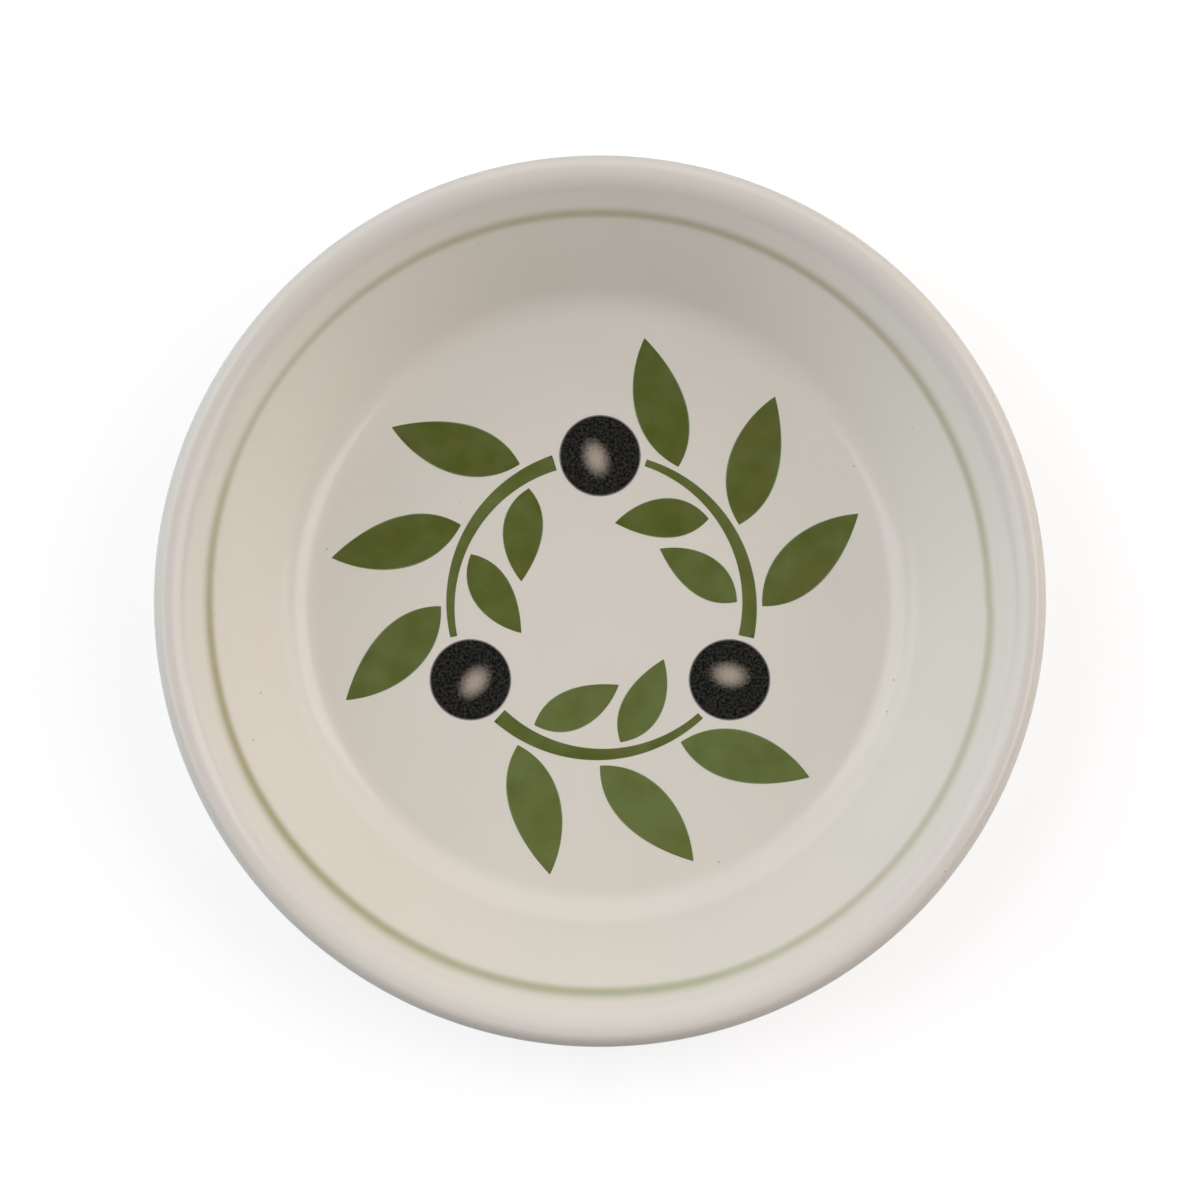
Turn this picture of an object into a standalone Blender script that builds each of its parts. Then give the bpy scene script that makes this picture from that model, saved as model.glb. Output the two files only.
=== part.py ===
# Round dish for dipping oil: a turned clay body on a foot ring, the glaze over it, a line banded
# inside the rim and a leaf wreath printed on the well.
# Metres, +Z up. The origin is the centre of the foot ring's underside.

import math

import bmesh
import bpy
from mathutils import Matrix, Vector

# Dish, measured over the glaze
RIM_DIAMETER = 0.100
HEIGHT = 0.020
WELL_DIAMETER = 0.069  # where the floor and the wall would meet without their round
FLOOR_THICKNESS = 0.004
WALL_THICKNESS = 0.004
WELL_ROUND = 0.0058
LIP_TOP = 0.003  # width of the lip before its edges are rounded
LIP_INNER_ROUND = 0.0039
LIP_OUTER_ROUND = 0.0013
LIP_UNDER_ROUND = 0.002
KNEE_ROUND = 0.006  # outside, where the wall turns in under the well

# Foot ring
FOOT_HEIGHT = 0.003
FOOT_INSET = 0.0033  # from the well's edge in to the ring's glazed side
FOOT_WIDTH = 0.003
FOOT_ROUND = 0.0015
FOOT_EDGE_ROUND = 0.0005

# Glaze
GLAZE_THICKNESS = 0.0004
GLAZE_STOP = 0.0012  # height above the table at which the glaze is wiped off the foot
SEAT_GAP = 0.0003  # between a layer and what it lies on

# Fired colours
FILM_THICKNESS = 0.0002
LINE_WIDTH = 0.0013
LINE_BELOW_LIP = 0.0022  # down the wall from the end of the lip's round

# Printed wreath, drawn to the well in equal parts that each run from one berry to the next
WREATH_PARTS = 3
WREATH_TURN = math.radians(90)
PRINT_MARGIN = 0.0145 * WELL_DIAMETER  # bare glaze between the leaf tips and the well's round
PRINT_GAP = 0.0087 * WELL_DIAMETER  # bare glaze between a stem and what grows from it
BERRY_DIAMETER = 0.1335 * WELL_DIAMETER
STEM_WIDTH = 0.026 * WELL_DIAMETER
STEM_TIP_WIDTH = 0.0116 * WELL_DIAMETER
LEAF_BEND = 0.0217 * WELL_DIAMETER  # sideways sweep of a leaf's tip
LEAF_BASE_HANDLES = ((0.22, 1.33), (0.30, -1.33))  # shares of a leaf's length and half-width
LEAF_TIP_HANDLES = ((0.62, 1.27), (0.74, -0.80))
OUTER_LEAF_LENGTH = 0.2175 * WELL_DIAMETER
OUTER_LEAF_WIDTH = 0.093 * WELL_DIAMETER
OUTER_LEAF_ANGLE = math.radians(40)
OUTER_LEAF_SHARES = (0.14, 0.50, 0.86)  # places along the stem
INNER_LEAF_LENGTH = 0.152 * WELL_DIAMETER
INNER_LEAF_WIDTH = 0.0725 * WELL_DIAMETER
INNER_LEAF_ANGLE = math.radians(46)
INNER_LEAF_SHARES = (0.16, 0.60)

# Fineness
TURNED_STEPS = 48
CHORD_ERROR = 0.00005  # how far a facet may lie from its round
LEAF_STEPS = 10
STEM_STEPS = 9
BERRY_STEPS = 32

# Colours
CLAY = "D9CFC0"
GLAZE = "D6CEC3"
LINE_GREEN = "8E9067"
LEAF_GREEN = "57682F"
BERRY_BLACK = "1C1A1B"

# Sizes that follow from those above
COAT = GLAZE_THICKNESS + SEAT_GAP
RIM_RADIUS = RIM_DIAMETER / 2
WELL_RADIUS = WELL_DIAMETER / 2
FLOOR = FOOT_HEIGHT + FLOOR_THICKNESS
LIP_RADIUS = RIM_RADIUS - LIP_TOP
WALL_UP = Vector((LIP_RADIUS - WELL_RADIUS, HEIGHT - FLOOR)).normalized()
WALL_OUT = Vector((WALL_UP.y, -WALL_UP.x))
WALL_SLOPE = math.atan2(WALL_UP.y, WALL_UP.x)
FOOT_OUTSIDE = WELL_RADIUS - FOOT_INSET
CLAY_FOOT_OUTSIDE = FOOT_OUTSIDE - COAT
CLAY_FOOT_INSIDE = CLAY_FOOT_OUTSIDE - FOOT_WIDTH
FOOT_INSIDE = CLAY_FOOT_INSIDE - COAT
FLAT_RADIUS = WELL_RADIUS - WELL_ROUND * math.tan(WALL_SLOPE / 2)


def clear_scene():
    for old in list(bpy.data.objects):
        bpy.data.objects.remove(old, do_unlink=True)


def linear(hex_colour):
    channels = [int(hex_colour[i : i + 2], 16) / 255 for i in (0, 2, 4)]
    return [c / 12.92 if c <= 0.04045 else ((c + 0.055) / 1.055) ** 2.4 for c in channels]


def make_material(name, hex_colour, roughness):
    material = bpy.data.materials.new(name)
    material.use_nodes = True
    shader = material.node_tree.nodes["Principled BSDF"]
    shader.inputs["Base Color"].default_value = (*linear(hex_colour), 1)
    shader.inputs["Roughness"].default_value = roughness
    shader.inputs["Metallic"].default_value = 0
    return material


def add_part(name, data, material, parent=None):
    part = bpy.data.objects.new(name, data)
    part.data.materials.clear()
    part.data.materials.append(material)
    part.parent = parent
    parts.objects.link(part)
    return part


# Sections are drawn in the plane of radius and height, with the material on the right of the way.


def rounded(corners):
    """Points and outward normals along a section with corners of (radius, height, round)."""
    places = [Vector(corner[:2]) for corner in corners]
    runs = [end - start for start, end in zip(places, places[1:])]
    turns = [after.angle_signed(before) for before, after in zip(runs, runs[1:])]
    turns = [0, *turns, 0]
    tangents = [abs(c[2] * math.tan(turn / 2)) for c, turn in zip(corners, turns)]
    fit = [1] * len(corners)
    for i, run in enumerate(runs):  # a round ends where its neighbour's begins
        needed = tangents[i] + tangents[i + 1]
        if needed > run.length:
            fit[i] = min(fit[i], run.length / needed)
            fit[i + 1] = min(fit[i + 1], run.length / needed)
    section = []
    for i, (place, turn) in enumerate(zip(places, turns)):
        way = runs[max(i - 1, 0)].normalized()
        normal = Vector((-way.y, way.x))
        radius = corners[i][2] * fit[i]
        towards_centre = math.copysign(radius, turn)
        centre = place - way * tangents[i] * fit[i] + normal * towards_centre
        steps = arc_steps(radius, abs(turn))
        for k in range(steps + 1):
            swung = Matrix.Rotation(turn * k / max(steps, 1), 2) @ normal
            section.append((centre - swung * towards_centre, swung))
    return section


def arc_steps(radius, turn):
    """How many chords a round needs to stay within the chord error."""
    if radius <= CHORD_ERROR:
        return 0
    return math.ceil(turn / (2 * math.acos(1 - CHORD_ERROR / radius)))


def sunk(section, depth):
    return [point - normal * depth for point, normal in section]


def add_turned(name, profile, material, closed=False):
    """A profile swept round the Z axis. An open profile starts and ends on the axis."""
    edges = [(i, i + 1) for i in range(len(profile) - 1)]
    if closed:
        edges.append((len(profile) - 1, 0))
    mesh = bpy.data.meshes.new(name)
    mesh.from_pydata([(point.x, 0, point.y) for point in profile], edges, [])
    part = add_part(name, mesh, material)
    screw = part.modifiers.new("turn", "SCREW")
    screw.axis = "Z"
    screw.steps = TURNED_STEPS
    screw.render_steps = TURNED_STEPS
    screw.use_merge_vertices = True
    screw.merge_threshold = 0.00001
    screw.use_smooth_shade = True
    return part


def dish_sections():
    """The glazed skin from the well's centre to the foot, the bare foot, and the glazed base."""
    wall_foot = Vector((WELL_RADIUS, FLOOR)) + WALL_OUT * WALL_THICKNESS
    lip_under = wall_foot + WALL_UP * ((RIM_RADIUS - wall_foot.x) / WALL_UP.x)
    knee = wall_foot + WALL_UP * ((FOOT_HEIGHT - wall_foot.y) / WALL_UP.y)
    skin = rounded(
        [
            (0, FLOOR, 0),
            (WELL_RADIUS, FLOOR, WELL_ROUND),
            (LIP_RADIUS, HEIGHT, LIP_INNER_ROUND),
            (RIM_RADIUS, HEIGHT, LIP_OUTER_ROUND),
            (lip_under.x, lip_under.y, LIP_UNDER_ROUND),
            (knee.x, knee.y, KNEE_ROUND),
            (FOOT_OUTSIDE, FOOT_HEIGHT, FOOT_ROUND),
            (FOOT_OUTSIDE, GLAZE_STOP, 0),
        ]
    )
    foot = rounded(
        [
            (CLAY_FOOT_OUTSIDE, GLAZE_STOP, 0),
            (CLAY_FOOT_OUTSIDE, 0, FOOT_EDGE_ROUND),
            (CLAY_FOOT_INSIDE, 0, FOOT_EDGE_ROUND),
            (CLAY_FOOT_INSIDE, GLAZE_STOP, 0),
        ]
    )
    base = rounded(
        [
            (FOOT_INSIDE, GLAZE_STOP, 0),
            (FOOT_INSIDE, FOOT_HEIGHT, FOOT_ROUND),
            (0, FOOT_HEIGHT, 0),
        ]
    )
    return skin, foot, base


def add_dish(clay, glaze):
    skin, foot, base = dish_sections()
    body = sunk(skin, COAT) + sunk(foot, 0)[1:-1] + sunk(base, COAT)
    add_turned("dish_body", body, clay)
    coat = sunk(skin, 0) + sunk(skin, GLAZE_THICKNESS)[::-1]
    add_turned("glaze_coat", coat, glaze)
    pool = sunk(base, GLAZE_THICKNESS)[::-1] + sunk(base, 0)
    add_turned("base_glaze", pool, glaze)


def add_rim_line(colour):
    """A thin band that lies on the straight of the wall, just under the lip."""
    lip = Vector((LIP_RADIUS, HEIGHT))
    upper = lip - WALL_UP * (LIP_INNER_ROUND * math.tan(WALL_SLOPE / 2) + LINE_BELOW_LIP)
    lower = upper - WALL_UP * LINE_WIDTH
    under = -WALL_OUT * SEAT_GAP
    over = -WALL_OUT * (SEAT_GAP + FILM_THICKNESS)
    add_turned("rim_line", [lower + over, upper + over, upper + under, lower + under], colour, True)


def film_curve(name):
    """A flat outline that is filled and given the film's thickness."""
    curve = bpy.data.curves.new(name, "CURVE")
    curve.dimensions = "2D"
    curve.fill_mode = "BOTH"
    curve.extrude = FILM_THICKNESS / 2
    return curve


def leaf_curve(name, length, width, side):
    """A leaf along +X from its base, whose tip sweeps to one side."""
    curve = film_curve(name)
    curve.resolution_u = LEAF_STEPS
    spline = curve.splines.new("BEZIER")
    spline.bezier_points.add(1)
    spline.use_cyclic_u = True
    base, tip = spline.bezier_points
    for point in (base, tip):
        point.handle_left_type = "FREE"
        point.handle_right_type = "FREE"

    def handle(shares):
        return (shares[0] * length, side * shares[1] * width / 2, 0)

    base.co = (0, 0, 0)
    base.handle_right = handle(LEAF_BASE_HANDLES[0])
    base.handle_left = handle(LEAF_BASE_HANDLES[1])
    tip.co = (length, side * LEAF_BEND, 0)
    tip.handle_left = handle(LEAF_TIP_HANDLES[0])
    tip.handle_right = handle(LEAF_TIP_HANDLES[1])
    return curve


def stem_curve(name, radius, start, end):
    """A stroke along an arc round the origin, narrowing from its start to its end."""
    curve = film_curve(name)
    edges = {1: [], -1: []}
    for i in range(STEM_STEPS + 1):
        share = i / STEM_STEPS
        angle = start + (end - start) * share
        for side, edge in edges.items():
            edge.append(polar(radius + side * stem_half(share), angle))
    outline = edges[1] + edges[-1][::-1]
    spline = curve.splines.new("POLY")
    spline.points.add(len(outline) - 1)
    spline.use_cyclic_u = True
    for point, place in zip(spline.points, outline):
        point.co = (*place, 1)
    return curve


def berry_mesh(name):
    mesh = bpy.data.meshes.new(name)
    shape = bmesh.new()
    bmesh.ops.create_cone(
        shape,
        cap_ends=True,
        segments=BERRY_STEPS,
        radius1=BERRY_DIAMETER / 2,
        radius2=BERRY_DIAMETER / 2,
        depth=FILM_THICKNESS,
    )
    shape.to_mesh(mesh)
    shape.free()
    return mesh


def polar(radius, angle):
    return Vector((radius * math.cos(angle), radius * math.sin(angle), 0))


def stem_half(share):
    return (STEM_WIDTH + (STEM_TIP_WIDTH - STEM_WIDTH) * share) / 2


def add_wreath(green, black):
    """Stems on a ring, each from one berry to the next, with leaves on both sides."""
    leaf_rise = OUTER_LEAF_LENGTH * math.sin(OUTER_LEAF_ANGLE)
    leaf_run = OUTER_LEAF_LENGTH * math.cos(OUTER_LEAF_ANGLE)
    tips = FLAT_RADIUS - PRINT_MARGIN - LEAF_BEND / 2
    ring = math.sqrt(tips**2 - leaf_run**2) - leaf_rise - STEM_WIDTH / 2 - PRINT_GAP
    berry_turn = 2 * math.asin((BERRY_DIAMETER / 2 + PRINT_GAP) / (2 * ring))
    part_turn = 2 * math.pi / WREATH_PARTS
    stem_turn = part_turn - 2 * berry_turn
    stem = stem_curve("stem", ring, berry_turn, berry_turn + stem_turn)
    berry = berry_mesh("berry")
    leaf_kinds = (
        ("outer_leaf", 1, OUTER_LEAF_LENGTH, OUTER_LEAF_WIDTH, OUTER_LEAF_ANGLE, OUTER_LEAF_SHARES),
        ("inner_leaf", -1, INNER_LEAF_LENGTH, INNER_LEAF_WIDTH, INNER_LEAF_ANGLE, INNER_LEAF_SHARES),
    )
    leaves = {kind[0]: leaf_curve(kind[0], kind[2], kind[3], -kind[1]) for kind in leaf_kinds}
    for k in range(WREATH_PARTS):
        centre = bpy.data.objects.new(f"wreath_part_{k + 1}", None)
        centre.location.z = FLOOR + SEAT_GAP + FILM_THICKNESS / 2
        centre.rotation_euler.z = WREATH_TURN + k * part_turn
        parts.objects.link(centre)
        add_part(f"stem_{k + 1}", stem, green, centre)
        add_part(f"berry_{k + 1}", berry, black, centre).location = polar(ring, 0)
        for kind, side, _, _, lean, shares in leaf_kinds:
            for i, share in enumerate(shares):
                angle = berry_turn + stem_turn * share
                leaf = add_part(f"{kind}_{k * len(shares) + i + 1}", leaves[kind], green, centre)
                leaf.location = polar(ring + side * (stem_half(share) + PRINT_GAP), angle)
                leaf.rotation_euler.z = angle + math.pi / 2 - side * lean


clear_scene()
parts = bpy.data.collections.new("oil_dipping_dish")
bpy.context.scene.collection.children.link(parts)
glaze_material = make_material("glaze", GLAZE, 0.12)
add_dish(make_material("clay", CLAY, 0.85), glaze_material)
add_rim_line(make_material("line_green", LINE_GREEN, 0.25))
add_wreath(make_material("leaf_green", LEAF_GREEN, 0.25), make_material("berry_black", BERRY_BLACK, 0.25))
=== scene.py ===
# Dish for dipping oil: the looks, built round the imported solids.
# The dictionaries give millimetres and degrees; meshes are in metres.
import math

import bpy
from mathutils import Matrix, Vector


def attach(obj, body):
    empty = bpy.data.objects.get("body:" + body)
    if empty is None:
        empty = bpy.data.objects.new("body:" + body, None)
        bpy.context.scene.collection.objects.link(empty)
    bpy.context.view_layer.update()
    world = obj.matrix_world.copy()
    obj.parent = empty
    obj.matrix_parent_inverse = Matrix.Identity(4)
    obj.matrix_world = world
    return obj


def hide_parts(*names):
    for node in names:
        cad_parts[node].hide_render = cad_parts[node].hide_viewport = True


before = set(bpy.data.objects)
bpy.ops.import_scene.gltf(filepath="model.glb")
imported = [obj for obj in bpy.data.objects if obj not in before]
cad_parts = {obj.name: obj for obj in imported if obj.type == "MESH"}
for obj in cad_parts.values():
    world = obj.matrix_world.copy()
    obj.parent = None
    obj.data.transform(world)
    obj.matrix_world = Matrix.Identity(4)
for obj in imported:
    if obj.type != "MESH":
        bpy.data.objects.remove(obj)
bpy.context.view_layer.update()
scene = bpy.context.scene
mm = 0.001
print("frame:", len(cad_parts), "solids")


def toLinear(hexColour):
    # sRGB to linear light
    channels = [int(hexColour[i:i + 2], 16) / 255 for i in (1, 3, 5)]
    return [c / 12.92 if c <= 0.04045 else ((c + 0.055) / 1.055) ** 2.4 for c in channels] + [1]


def addNode(tree, kind, settings={}, links={}):
    # a link's value is a socket, a node whose first output is meant, or a plain value;
    # a colour mix takes its share at 0 and its colours at 6 and 7, and gives output 2
    node = tree.nodes.new(kind)
    for name, value in settings.items():
        setattr(node, name, value)
    for socket, source in links.items():
        if isinstance(source, bpy.types.Node):
            source = source.outputs[0]
        if isinstance(source, bpy.types.NodeSocket):
            tree.links.new(source, node.inputs[socket])
        else:
            node.inputs[socket].default_value = source
    return node


def drawCurve(node, points):
    # lays a float curve through points of (place, value), both from 0 to 1
    curve = node.mapping.curves[0]
    while len(curve.points) < len(points):
        curve.points.new(0.5, 0.5)
    for point, place in zip(curve.points, points):
        point.location = place
    node.mapping.update()


def newTree(name, inputs, outputs={"Geometry": "Geometry"}):
    tree = bpy.data.node_groups.new(name, "GeometryNodeTree")
    for way, sockets in (("INPUT", inputs), ("OUTPUT", outputs)):
        for label, kind in sockets.items():
            tree.interface.new_socket(label, in_out=way, socket_type="NodeSocket" + kind)
    return tree, addNode(tree, "NodeGroupInput").outputs


def ownPlace(tree):
    return addNode(tree, "ShaderNodeSeparateXYZ", {}, {0: addNode(tree, "GeometryNodeInputPosition")}).outputs


def aroundAxis(tree, angle, radius, height):
    # the place at an angle, a radius and a height round the dish's axis
    east = addNode(tree, "ShaderNodeMath", {"operation": "COSINE"}, {0: angle})
    north = addNode(tree, "ShaderNodeMath", {"operation": "SINE"}, {0: angle})
    x = addNode(tree, "ShaderNodeMath", {"operation": "MULTIPLY"}, {0: radius, 1: east})
    y = addNode(tree, "ShaderNodeMath", {"operation": "MULTIPLY"}, {0: radius, 1: north})
    return addNode(tree, "ShaderNodeCombineXYZ", {}, {0: x, 1: y, 2: height})


def mappedGrid(tree, along, across):
    # a unit grid that keeps its own map, and where a point lies: along from 0 to 1, aside from -0.5 to 0.5
    grid = addNode(tree, "GeometryNodeMeshGrid", {}, {
        "Size X": 1.0, "Size Y": 1.0, "Vertices X": along, "Vertices Y": across})
    mapped = addNode(tree, "GeometryNodeStoreNamedAttribute", {"data_type": "FLOAT2", "domain": "CORNER"}, {
        "Geometry": grid, "Name": "printMap", "Value": grid.outputs["UV Map"]})
    own = ownPlace(tree)
    along = addNode(tree, "ShaderNodeMath", {"operation": "ADD"}, {0: own[0], 1: 0.5})
    return mapped, along, own[1]


def endPiece(tree, shape, material):
    shape = addNode(tree, "GeometryNodeRealizeInstances", {}, {0: shape})
    shape = addNode(tree, "GeometryNodeSetMaterial", {}, {0: shape, "Material": material})
    addNode(tree, "NodeGroupOutput", {}, {0: shape})


def runTrees(name, steps, start=None):
    # steps are pairs of a tree and its values; the result is a plain mesh
    source = bpy.data.objects.new(name + "Source", start or bpy.data.meshes.new(name + "Source"))
    scene.collection.objects.link(source)
    for tree, values in steps:
        modifier = source.modifiers.new(tree.name, "NODES")
        modifier.node_group = tree
        for item in tree.interface.items_tree:
            if item.in_out == "INPUT" and item.name in values:
                modifier[item.identifier] = values[item.name]
    graph = bpy.context.evaluated_depsgraph_get()
    mesh = bpy.data.meshes.new_from_object(
        source.evaluated_get(graph), preserve_all_data_layers=True, depsgraph=graph)
    bpy.data.objects.remove(source)
    mesh.name = name
    piece = bpy.data.objects.new(name, mesh)
    scene.collection.objects.link(piece)
    return piece


def dress(piece, slotName, *nodes):
    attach(piece, "root")
    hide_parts(*nodes)
    print("piece:", piece.name, len(piece.data.polygons), "faces")


# Finishes

glaze = {
    "pale": "#D7D3C7", "deep": "#D1CDC0", "cloud": 16.0,  # the body seen through the glaze, in slow clouds
    "thin": "#CECABF", "lipShadeOver": (18.4, 19.7),  # painted shade: heights over which the colour turns darker towards the lip
    # a few iron specks
    "speck": "#8D8271", "speckSpacing": 5.0, "speckSize": (0.075, 0.15), "speckStrength": 0.75,
    "peel": 2.6, "peelDepth": 0.002, "glossPatch": 9.0, "roughness": (0.14, 0.19), "ior": 1.5,
}


def newMaterial(name):
    material = bpy.data.materials.new(name)
    material.use_nodes = True
    tree = material.node_tree
    place = addNode(tree, "ShaderNodeTexCoord").outputs["Object"]
    return material, tree, tree.nodes["Principled BSDF"], place


def layGlaze(tree, shader, place):
    # what all the glazed surfaces share: a glassy face with a faint orange peel
    peel = addNode(tree, "ShaderNodeTexNoise", {}, {
        "Vector": place, "Scale": 1 / (glaze["peel"] * mm), "Detail": 1.0})
    bump = addNode(tree, "ShaderNodeBump", {}, {
        "Height": peel, "Strength": 1.0, "Distance": glaze["peelDepth"] * mm})
    patch = addNode(tree, "ShaderNodeTexNoise", {}, {
        "Vector": place, "Scale": 1 / (glaze["glossPatch"] * mm), "Detail": 2.0})
    rough = addNode(tree, "ShaderNodeMapRange", {}, {
        "Value": patch, "To Min": glaze["roughness"][0], "To Max": glaze["roughness"][1]})
    tree.links.new(bump.outputs[0], shader.inputs["Normal"])
    tree.links.new(rough.outputs[0], shader.inputs["Roughness"])
    shader.inputs["IOR"].default_value = glaze["ior"]


def glazeColour(tree, place):
    cloud = addNode(tree, "ShaderNodeTexNoise", {}, {
        "Vector": place, "Scale": 1 / (glaze["cloud"] * mm), "Detail": 3.0})
    body = addNode(tree, "ShaderNodeMix", {"data_type": "RGBA"}, {
        0: cloud, 6: toLinear(glaze["pale"]), 7: toLinear(glaze["deep"])})
    height = addNode(tree, "ShaderNodeSeparateXYZ", {}, {0: place}).outputs["Z"]
    # painted shade: the glaze colour darkens over the lip's height
    lipShade = addNode(tree, "ShaderNodeMapRange", {"interpolation_type": "SMOOTHSTEP"}, {
        "Value": height, "From Min": glaze["lipShadeOver"][0] * mm, "From Max": glaze["lipShadeOver"][1] * mm})
    body = addNode(tree, "ShaderNodeMix", {"data_type": "RGBA"}, {
        0: lipShade, 6: body.outputs[2], 7: toLinear(glaze["thin"])})
    cells = addNode(tree, "ShaderNodeTexVoronoi", {}, {
        "Vector": place, "Scale": 1 / (glaze["speckSpacing"] * mm)})
    core, halo = [size / glaze["speckSpacing"] for size in glaze["speckSize"]]
    dots = addNode(tree, "ShaderNodeMapRange", {}, {
        "Value": cells, "From Min": core, "From Max": halo, "To Min": glaze["speckStrength"], "To Max": 0.0})
    return addNode(tree, "ShaderNodeMix", {"data_type": "RGBA"}, {
        0: dots, 6: body.outputs[2], 7: toLinear(glaze["speck"])}).outputs[2]


# clear gloss glaze on off-white earthenware: smooth, pale and warm, with soft reflections
glossGlaze, tree, shader, place = newMaterial("glossGlaze")
layGlaze(tree, shader, place)
tree.links.new(glazeColour(tree, place), shader.inputs["Base Color"])

# bare fired earthenware on the wiped foot: dry and matt, with a fine grain
clay = {"pale": "#D9CDBB", "deep": "#C7B8A2", "grain": 0.6, "grainDepth": 0.03, "roughness": 0.85}
bareClay, tree, shader, place = newMaterial("bareClay")
grain = addNode(tree, "ShaderNodeTexNoise", {}, {
    "Vector": place, "Scale": 1 / (clay["grain"] * mm), "Detail": 4.0})
clayColour = addNode(tree, "ShaderNodeMix", {"data_type": "RGBA"}, {
    0: grain, 6: toLinear(clay["pale"]), 7: toLinear(clay["deep"])})
clayBump = addNode(tree, "ShaderNodeBump", {}, {
    "Height": grain, "Strength": 1.0, "Distance": clay["grainDepth"] * mm})
tree.links.new(clayColour.outputs[2], shader.inputs["Base Color"])
tree.links.new(clayBump.outputs[0], shader.inputs["Normal"])
shader.inputs["Roughness"].default_value = clay["roughness"]

# green underglaze colour laid with a loaded brush on the wheel: soft edges, stronger where it lingered
band = {
    "khaki": "#99966D", "sage": "#979F75", "sageFrom": (-36.0, -42.0), "streak": 1.8, "thinnest": 0.85,
    # strength round the dish, and fade across the line from its lower side
    "strength": [(0, 0.55), (0.08, 0.68), (0.25, 0.7), (0.34, 0.61), (0.41, 0.52), (0.46, 0.71),
                 (0.58, 0.95), (0.67, 0.84), (0.75, 0.83), (0.86, 0.55), (1, 0.55)],
    "edge": [(0, 0), (0.16, 0.03), (0.25, 0.23), (0.38, 0.75), (0.5, 1), (0.62, 0.79), (0.75, 0.38),
             (0.88, 0.1), (1, 0)],
}
bandGreen, tree, shader, place = newMaterial("bandGreen")
layGlaze(tree, shader, place)
printMap = addNode(tree, "ShaderNodeUVMap", {"uv_map": "printMap"})
ends = addNode(tree, "ShaderNodeSeparateXYZ", {}, {0: printMap})
strength = addNode(tree, "ShaderNodeFloatCurve", {}, {"Value": ends.outputs["X"]})
drawCurve(strength, band["strength"])
edge = addNode(tree, "ShaderNodeFloatCurve", {}, {"Value": ends.outputs["Y"]})
drawCurve(edge, band["edge"])
streak = addNode(tree, "ShaderNodeTexNoise", {}, {
    "Vector": place, "Scale": 1 / (band["streak"] * mm), "Detail": 2.0})
thin = addNode(tree, "ShaderNodeMapRange", {}, {"Value": streak, "To Min": band["thinnest"]})
cover = addNode(tree, "ShaderNodeMath", {"operation": "MULTIPLY"}, {0: strength, 1: edge})
cover = addNode(tree, "ShaderNodeMath", {"operation": "MULTIPLY"}, {0: cover, 1: thin})
northing = addNode(tree, "ShaderNodeSeparateXYZ", {}, {0: place}).outputs["Y"]
greener = addNode(tree, "ShaderNodeMapRange", {}, {
    "Value": northing, "From Min": band["sageFrom"][0] * mm, "From Max": band["sageFrom"][1] * mm})
pigment = addNode(tree, "ShaderNodeMix", {"data_type": "RGBA"}, {
    0: greener, 6: toLinear(band["khaki"]), 7: toLinear(band["sage"])})
bandColour = addNode(tree, "ShaderNodeMix", {"data_type": "RGBA"}, {
    0: cover, 6: glazeColour(tree, place), 7: pigment.outputs[2]})
tree.links.new(bandColour.outputs[2], shader.inputs["Base Color"])

# green transfer print under the glaze: soft mottles, some browner, and paler towards the front of the dish as
# painted light
leafInk = {
    "dark": "#505923", "light": "#646F3E", "mottle": 3.2, "mottleShare": 1.6,
    "brown": "#615F2C", "brownMottle": 5.0, "brownRange": (0.45, 0.75), "brownShare": 0.5,
    "fringe": "#7F9677", "fringeReach": 0.14, "fringeShare": 0.8,
}
leafGreen, tree, shader, place = newMaterial("leafGreen")
layGlaze(tree, shader, place)
printMap = addNode(tree, "ShaderNodeUVMap", {"uv_map": "printMap"})
ends = addNode(tree, "ShaderNodeSeparateXYZ", {}, {0: printMap})
tone = addNode(tree, "ShaderNodeAttribute", {"attribute_name": "tone"}).outputs["Fac"]
mottle = addNode(tree, "ShaderNodeTexNoise", {}, {
    "Vector": place, "Scale": 1 / (leafInk["mottle"] * mm), "Detail": 4.0})
uneven = addNode(tree, "ShaderNodeMapRange", {}, {
    "Value": mottle, "To Min": -leafInk["mottleShare"] / 2, "To Max": leafInk["mottleShare"] / 2})
# the tone brings painted light: paler towards the front of the dish
paler = addNode(tree, "ShaderNodeMath", {"operation": "ADD", "use_clamp": True}, {0: tone, 1: uneven})
inked = addNode(tree, "ShaderNodeMix", {"data_type": "RGBA"}, {
    0: paler, 6: toLinear(leafInk["dark"]), 7: toLinear(leafInk["light"])})
brownMottle = addNode(tree, "ShaderNodeTexNoise", {}, {
    "Vector": place, "Scale": 1 / (leafInk["brownMottle"] * mm), "Detail": 2.0})
browner = addNode(tree, "ShaderNodeMapRange", {"interpolation_type": "SMOOTHSTEP"}, {
    "Value": brownMottle, "From Min": leafInk["brownRange"][0], "From Max": leafInk["brownRange"][1],
    "To Max": leafInk["brownShare"]})
inked = addNode(tree, "ShaderNodeMix", {"data_type": "RGBA"}, {
    0: browner, 6: inked.outputs[2], 7: toLinear(leafInk["brown"])})
rest = addNode(tree, "ShaderNodeMath", {"operation": "SUBTRACT"}, {0: 1.0, 1: ends.outputs["Y"]})
# the product of the two shares is a quarter in the middle of a leaf
inside = addNode(tree, "ShaderNodeMath", {"operation": "MULTIPLY"}, {0: ends.outputs["Y"], 1: rest})
fringe = addNode(tree, "ShaderNodeMapRange", {"interpolation_type": "SMOOTHSTEP"}, {
    "Value": inside, "From Max": leafInk["fringeReach"] / 4, "To Min": leafInk["fringeShare"], "To Max": 0.0})
inked = addNode(tree, "ShaderNodeMix", {"data_type": "RGBA"}, {
    0: fringe, 6: inked.outputs[2], 7: toLinear(leafInk["fringe"])})
tree.links.new(inked.outputs[2], shader.inputs["Base Color"])

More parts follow.
